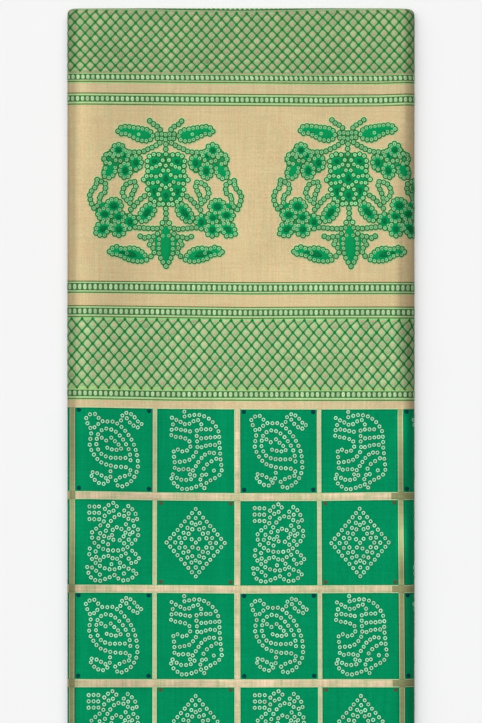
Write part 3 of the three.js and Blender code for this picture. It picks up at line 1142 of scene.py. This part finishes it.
def square_pieces(draws):
    """Rings of every square, in one piece for the front and one for the underside, with wells and dark domes
    of painted shadow round the front ones, and the corner dots.
    """
    figures = {
        (0, 0): figure_rings(COILED_BIRD), (0, 1): figure_rings(ELEPHANT),
        (1, 0): figure_rings(DANCER_BIRD), (1, 1): diamond_rings(),
    }
    front, under = reliefs_of("square_rings_front", "square_rings_under", draws=draws, unevenness=0.07)
    wells, outlines = reliefs_of("square_ring_wells", "square_ring_painted_shadows")
    dots = reliefs_of("corner_dots_blue", "corner_dots_brown")
    for column, row, left, top, right, bottom in square_grid():
        kind = row % 2, column % 2
        places = figures[kind] + (left, top + ROW_SHIFTS[min(row, 3)]) + FIGURE_SHIFT[kind]
        places = seen(places + draws.normal(0, RING_STRAYING, places.shape))
        if len(places):
            rings, sides = (front, 10) if left < FRONT else (under, 8)
            size = RING_RADIUS * draws.uniform(*RING_SIZES, (len(places), 1, 1))
            loops = places[:, None] + (ovals(places, 1, RING_TALLER, sides) - places[:, None]) * size
            rings.round_threads(loops, RING_BASE)
            if rings is front:
                # A dark dome of painted shadow round each ring on the front
                outlines.domes(ovals(places, *RING_SHADOW_HALVES, sides=8))
                wells.domes(rounds(places, WELL_RADIUS, sides=5))
        if row % 2 == column % 2:
            corners = [(x, y) for x in (left + DOT["across"], right - DOT["across"])
                       for y in (top + DOT["from_top"], bottom - DOT["from_bottom"])]
            corners = seen(np.array(corners))
            if len(corners):
                dots[row % 2].domes(rounds(corners, DOT["radius"], sides=12))
    return pieces_of(front, under, wells, outlines, *dots)


# The flowering branch of the patterned end, charted in mm: out from its middle, and down from its datum.
# Both halves are alike. Lines carry rings.
BRANCH_TOP = 85.0
BRANCH_MIDDLES = (82.3, 243.7, 405.4, 567.1)
BRANCH_LINES = (
    ((14.3, 14), (10.8, 17), (6.7, 19.5), (4, 23), (3.5, 28), (4.7, 32.8), (9.6, 36), (16, 39), (22, 41.3),
        (31.5, 41.6)),
    ((0, 26), (0, 43)),
    ((7.4, 25.5), (7.2, 29.3)),
    ((43.9, 48.6), (39.9, 49)),
    ((56.3, 66.8), (60.9, 65.6), (60.3, 70), (63, 73.3), (65.6, 76.5), (66.1, 81), (64.9, 86), (62.8, 90.3)),
    ((53, 69), (52.6, 72.7), (54, 77.2), (57.8, 79.4), (57.4, 84), (59.8, 88.3)),
    ((15, 77.8), (21.3, 82), (27.5, 88.4), (30.5, 91.6)),
    ((4.4, 86.6), (9, 86)),
    ((0, 91), (0, 99.6)),
    ((3.5, 107.8), (11, 108.8), (19.4, 108), (27, 107.4)),
    ((22.4, 115.3), (18.5, 117), (14.6, 115.9), (10.8, 115.6), (7.2, 113.2)),
    ((12.6, 119.4), (14.6, 121.9), (11.3, 125.2), (10.2, 129.1), (12.9, 132.8)),
    ((2.7, 114.9), (6, 117.9), (6.2, 122), (6.2, 126), (5.9, 129.8), (4.6, 133.6), (2.6, 137.6), (0, 141.4)),
)
# Rings that stand alone, most of them in the heart of the branch
BRANCH_SINGLES = (
    (23.9, 25.7), (34.3, 130.1), (2.8, 103.4), (16.1, 53.6), (12, 55.2), (8.5, 54), (5.1, 52.3), (2.7, 48.4),
    (6.2, 43.8), (10.5, 43.3), (14.2, 45), (16.2, 49.3), (0, 53), (2.1, 57.3), (4.5, 61.5), (7, 67.5),
    (3.4, 70.3), (0, 72.5), (5, 74.3), (6.6, 78.4), (4.8, 82.5), (2.4, 86.8), (5.9, 87), (9.8, 84.8),
    (15.6, 58), (12.8, 62.2), (8.7, 63), (16.8, 62.6), (19.3, 65.5), (11.3, 68.4), (15.2, 68.7),
    (15.6, 74), (14.4, 78.4), (12.6, 82.4),
)
# Petals ringed all round: fill, places
BRANCH_PETALS = (
    ("bright", ((11.6, 27), (15.1, 22.4), (22.6, 20.8), (30.7, 19.7), (37.7, 19.2), (42, 22), (40.7, 25),
        (35.7, 25), (29.7, 27.6), (22.7, 30.9), (15.1, 31))),
    ("dark", ((17.3, 135.7), (26.3, 136.9), (34.3, 135), (41.3, 131.4), (49.2, 130.2), (48, 126.8),
        (43.2, 124.7), (37.8, 126.7), (31.3, 125.8), (25.3, 126.7), (20.3, 130.1))),
    ("dark", ((10.3, 88.3), (14, 86.9), (18.2, 89.2), (21.5, 93.4), (23.5, 99.1), (19.9, 102.6), (16, 99.9),
        (12.5, 96.9), (10.1, 92.7))),
    ("none", ((27.3, 67.6), (31.8, 68.3), (35.6, 70.7), (37.7, 76), (36.6, 80.3), (33, 84.2), (31, 85.8),
        (30.3, 80.8), (28, 75.3), (26.2, 71.7))),
    ("dark", ((59, 105), (60.7, 109.3), (61, 113.2), (57.1, 114.4), (52.6, 114), (50.7, 109.6), (47, 106.3),
        (52.4, 103.2))),
)
# Round petals: fill, out, down, half width, half height, tilt in degrees
BRANCH_ROUNDS = (
    ("dark", 41.7, 39.6, 4.9, 4.7, 0),
    ("dark", 36.4, 44.4, 3.6, 4.2, 0),
    ("none", 49.9, 47.2, 4.1, 4.3, 0),
    ("bright", 49.3, 57.8, 4.4, 6.4, -32),
    ("dark", 35.6, 57.4, 4.8, 6.2, 0),
    ("dark", 26.3, 50.6, 4.7, 5.8, 0),
    ("dark", 45.3, 88.4, 6.5, 5.7, 0),
    ("dark", 53.3, 95.8, 5.9, 5.0, 0),
    ("dark", 41.3, 98.3, 5.2, 4.4, 0),
    ("dark", 31.3, 102.5, 4.6, 5.8, 0),
    ("dark", 41.1, 109.2, 5.2, 5.4, 0),
)
# Fills without rings: fill, places. One that starts and ends on the middle line is half an outline.
BRANCH_PATCHES = (
    ("dark", ((4.9, 48.8), (6.6, 45.9), (10.4, 45.4), (14, 46.8), (15.2, 50), (12.6, 53.2), (8, 53.2))),
    ("bright", ((3.6, 57.4), (8, 55.6), (13.6, 56.6), (15.4, 59.6), (12, 61.2), (6, 61))),
    ("bright", ((17.6, 65.8), (12.2, 64.2), (5, 64.2), (3, 66.2), (6, 67), (12, 67.4))),
    ("dark", ((0, 57), (3.6, 62.6), (5.2, 66.6), (0, 71))),
    ("dark", ((6.6, 70.6), (10.4, 70), (14.2, 71.6), (13.4, 76), (12.4, 80), (9.6, 83.2), (7.6, 80), (8, 76),
        (6.6, 73))),
    ("dark", ((0, 74), (3.8, 76), (4.8, 79.4), (2.6, 83), (0, 86))),
    ("bright", ((7.6, 114.8), (9.9, 118), (9.8, 122), (8.8, 126), (8.4, 130.4), (7.4, 126), (7.4, 120))),
    ("bright", ((0, 104.4), (2.4, 108), (5, 110.8), (3.4, 113.4), (4.6, 118), (4.8, 124), (4.4, 130),
        (2.8, 135), (0, 139.2))),
    ("bright", ((57.2, 84.6), (57.6, 89), (53.8, 90.6), (52.6, 87))),
    ("dark", ((45.8, 50.8), (46.3, 54.4), (43.1, 55.4), (41.9, 52.4))),
)
# Whole flowers and the heart of the branch, which lie under the petals
BRANCH_GROUNDS = (
    ((-1, 43), (4, 42.4), (9.8, 42.8), (14.8, 46.4), (16.4, 52.6), (16.4, 58.8), (18.8, 64), (18.2, 68.3),
        (15.8, 71.9), (15.4, 79), (12.2, 84.4), (5.4, 87), (-1, 87), (-1, 70), (-1, 56)),
    ((43, 34), (34.5, 40), (26, 43.5), (19.5, 50), (24, 58.5), (30.5, 59), (35, 64), (41.5, 61.5),
        (44, 58.5), (48.8, 64), (54.5, 64), (56.5, 59.5), (55, 54), (56, 45.5), (51.6, 41), (47, 37)),
    ((57.5, 85), (60.2, 88.5), (61, 94), (58.5, 100.4), (61.4, 109.6), (60, 113.6), (52.5, 114.4),
        (47.9, 112), (42.4, 114.4), (35.9, 112), (31.3, 108.5), (25.8, 103.6), (18.4, 101.6), (12, 96.6),
        (11, 91.2), (14, 87.4), (18.4, 90), (23.9, 96.5), (29.5, 96), (37.8, 93), (40.5, 86.5), (45, 83.6),
        (50.5, 85.5)),
)
# Painted shade: green laid between the flowers where a branch turns round the right fold, over the gold that
# lies in shade there
SHADED_FOLD_PATCH = ((55.5, 64), (75, 64), (75, 118), (60, 118), (57.5, 100), (58, 90), (55.5, 80))
BRANCH_RING_PITCH = 4.0
HEART_TONE = 1.25
STEM_TONE = 0.90
# Rings closer to the middle line than this lie on it, and no two rings lie closer together than the next
MIDDLE_REACH = 1.2
LEAST_APART = 2.6
OUTLINE_POINTS = 24
CORE_SHARE = 0.56
# Radii of a ring of the branch, of its heart and of what lies under it
BRANCH_RADII = {"ring": 1.12, "heart": 0.65, "outline": 2.98, "halo": 3.9}
BRANCH_RING_BASE = 0.10
BRANCH_STRAYING = 0.10
# How far the pieces of the branch stop short of the end of the seen cloth
RING_MARGIN = 4
FILL_MARGIN = 2


def turned_oval(out, down, half_width, half_height, tilt):
    angle = np.arange(OUTLINE_POINTS) * 2 * math.pi / OUTLINE_POINTS
    tilt = math.radians(tilt)
    x, y = half_width * np.cos(angle), half_height * np.sin(angle)
    across = out + x * math.cos(tilt) - y * math.sin(tilt)
    along = down + x * math.sin(tilt) + y * math.cos(tilt)
    return together(across, along)


def resampled(loop):
    """Evenly spaced places round a closed loop."""
    closed = np.concatenate([loop, loop[:1]])
    length = np.concatenate([[0], np.cumsum(np.hypot(*np.diff(closed, axis=0).T))])
    marks = np.linspace(0, length[-1], OUTLINE_POINTS, endpoint=False)
    return together(*(np.interp(marks, length, row) for row in closed.T))


def mirrored(places):
    return places * (-1, 1)


def completed(places):
    """Adds the mirror image of half an outline, and leaves a whole one as it is."""
    if places[0][0] == 0:
        places += tuple((-out, down) for out, down in places[-2:0:-1])
    return places


def without_neighbours(rings):
    """Rings in order, leaving out any that lies too close to one before it."""
    kept = []
    for ring in rings:
        if all(math.dist(ring[:2], other[:2]) > LEAST_APART for other in kept):
            kept.append(ring)
    return np.array(kept)


def branch_chart():
    """One branch: its ring places, how bright each ring is, and the outlines of its fills by kind."""
    rings = [(HEART_TONE, BRANCH_SINGLES)]
    for places in BRANCH_LINES:
        rings.append((STEM_TONE, spaced(smooth(places, False), BRANCH_RING_PITCH, False)))
    loops = [(fill, turned_oval(*oval)) for fill, *oval in BRANCH_ROUNDS]
    loops += [(fill, smooth(places, True)) for fill, places in BRANCH_PETALS]
    for _, loop in loops:
        rings.append((1.0, spaced(np.concatenate([loop, loop[:1]]), BRANCH_RING_PITCH, True)))
    loops += [(fill, smooth(completed(places), True)) for fill, places in BRANCH_PATCHES]
    fills = {"bright": [], "dark": []}
    for fill, loop in loops:
        if fill in fills:
            outline = resampled(loop)
            fills[fill] += [outline] if loop[0, 0] == 0 else [outline, mirrored(outline)]
    half = np.array([(*place, tone) for tone, places in rings for place in places])
    half[np.abs(half[:, 0]) < MIDDLE_REACH, 0] = 0.0
    kept = without_neighbours(np.concatenate([half, half * (-1, 1, 1)]))
    return kept[:, :2], kept[:, 2], {fill: np.array(outlines) for fill, outlines in fills.items()}


def branch_pieces(draws):
    chart, tones, fills = branch_chart()
    halos, grounds, discs = reliefs_of("branch_halos", "branch_grounds", "branch_outlines")
    bright, cores = reliefs_of("branch_fills", "branch_cores")
    rings = Relief("branch_rings", draws, unevenness=0.06)
    hearts = Relief("branch_ring_hearts", draws, unevenness=0.10)
    for middle in BRANCH_MIDDLES:
        datum = (middle, BRANCH_TOP)
        places = datum + chart + draws.normal(0, BRANCH_STRAYING, chart.shape)
        shown = places[:, 0] < SEEN_TO - RING_MARGIN
        places = places[shown]
        rings.tone = tones[shown]
        halos.domes(rounds(places, BRANCH_RADII["halo"], sides=10), stagger=0.003)
        discs.domes(rounds(places, BRANCH_RADII["outline"], sides=11), stagger=0.006)
        whole = [smooth(outline, True) for outline in BRANCH_GROUNDS]
        for loop in (loop + datum for right in whole for loop in (right, mirrored(right))):
            if loop[:, 0].max() < SEEN_TO - FILL_MARGIN:
                grounds.patch(loop)
        # Painted shade of green where a branch turns round the right fold
        if middle < FRONT < middle + SHADED_FOLD_PATCH[0][0]:
            grounds.patch(np.array(SHADED_FOLD_PATCH) + datum)
        for kind in ("bright", "dark"):
            outlines = datum + fills[kind]
            outlines = outlines[outlines[..., 0].max(axis=1) < SEEN_TO - FILL_MARGIN]
            bright.domes(outlines, stagger=0.004)
            if kind == "dark":
                inner = outlines.mean(axis=1, keepdims=True)
                cores.domes(inner + (outlines - inner) * CORE_SHARE, stagger=0.004)
        rings.round_threads(rounds(places, BRANCH_RADII["ring"], sides=10), BRANCH_RING_BASE)
        hearts.domes(rounds(places, BRANCH_RADII["heart"], sides=5))
    return pieces_of(halos, grounds, discs, bright, cores, rings, hearts)


# Floor, light and camera

# Lamps: name, where the light comes from, energy, angle of its softness in degrees
LAMPS = (
    ("ceiling_light", (0.0, 0.0, 1.0), 0.72, 12),
    ("window_light", (-0.30, 0.60, 1.0), 2.50, 96),
)


def set_stage():
    reach = 8.0
    mesh = bpy.data.meshes.new("floor")
    corners = [(x * reach, y * reach, 0) for x, y in ((-1, -1), (1, -1), (1, 1), (-1, 1))]
    mesh.from_pydata(corners, [], [(0, 1, 2, 3)])
    floor = bpy.data.objects.new("floor", mesh)
    bpy.context.scene.collection.objects.link(floor)
    shader = Shader("floor_paper", roughness=0.9, specular=0.0, sheen=0.0)
    grain = shader.noise(shader.node("TexCoord", {}, output=3), scale=9.0, detail=2.0)
    pale = shader.ramp(grain, ((0.3, (0.856, 0.856, 0.858, 1)), (0.7, (0.864, 0.864, 0.866, 1))))
    shader.feed(shader.surface.inputs["Base Color"], pale)
    mesh.materials.append(shader.material)

    world = bpy.data.worlds.new("studio")
    world.use_nodes = True
    background = world.node_tree.nodes["Background"]
    background.inputs["Color"].default_value = (1.0, 1.0, 1.0, 1.0)
    background.inputs["Strength"].default_value = 0.18
    bpy.context.scene.world = world
    for name, towards, energy, softness in LAMPS:
        sun = bpy.data.lights.new(name, "SUN")
        sun.energy = energy
        sun.angle = math.radians(softness)
        lamp = bpy.data.objects.new(name, sun)
        lamp.rotation_euler = Vector(towards).to_track_quat("Z", "Y").to_euler()
        bpy.context.scene.collection.objects.link(lamp)
    bpy.context.scene.view_settings.view_transform = "Standard"


def set_camera():
    """Looks straight down. The picture is 482 by 723, and the packet's top edge lies 8.1 from its top."""
    picture_width, picture_height = 482, 723
    packet_left, packet_right, packet_top = 67.2, 414.9, 8.1
    scale = 2 * HALF_WIDTH / (packet_right - packet_left)
    aim_x = (picture_width / 2 - (packet_left + packet_right) / 2) * scale
    aim_y = HALF_LENGTH - (picture_height / 2 - packet_top) * scale
    above = 3.0
    camera_data = bpy.data.cameras.new("camera")
    camera_data.sensor_width = 36.0
    distance = above - PACKET_HEIGHT * MM
    camera_data.lens = camera_data.sensor_width * distance / (picture_height * scale * MM)
    camera_data.clip_end = 100.0
    camera = bpy.data.objects.new("camera", camera_data)
    camera.location = (aim_x * MM, aim_y * MM, above)
    bpy.context.scene.collection.objects.link(camera)
    bpy.context.scene.camera = camera


set_camera()
set_stage()
draws = np.random.default_rng(7)
cloth = lay_cloth(ground_material())
figures = band_pieces(draws) + lattice_pieces(draws) + bar_pieces()
figures += square_pieces(draws) + branch_pieces(draws)
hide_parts("dupatta")
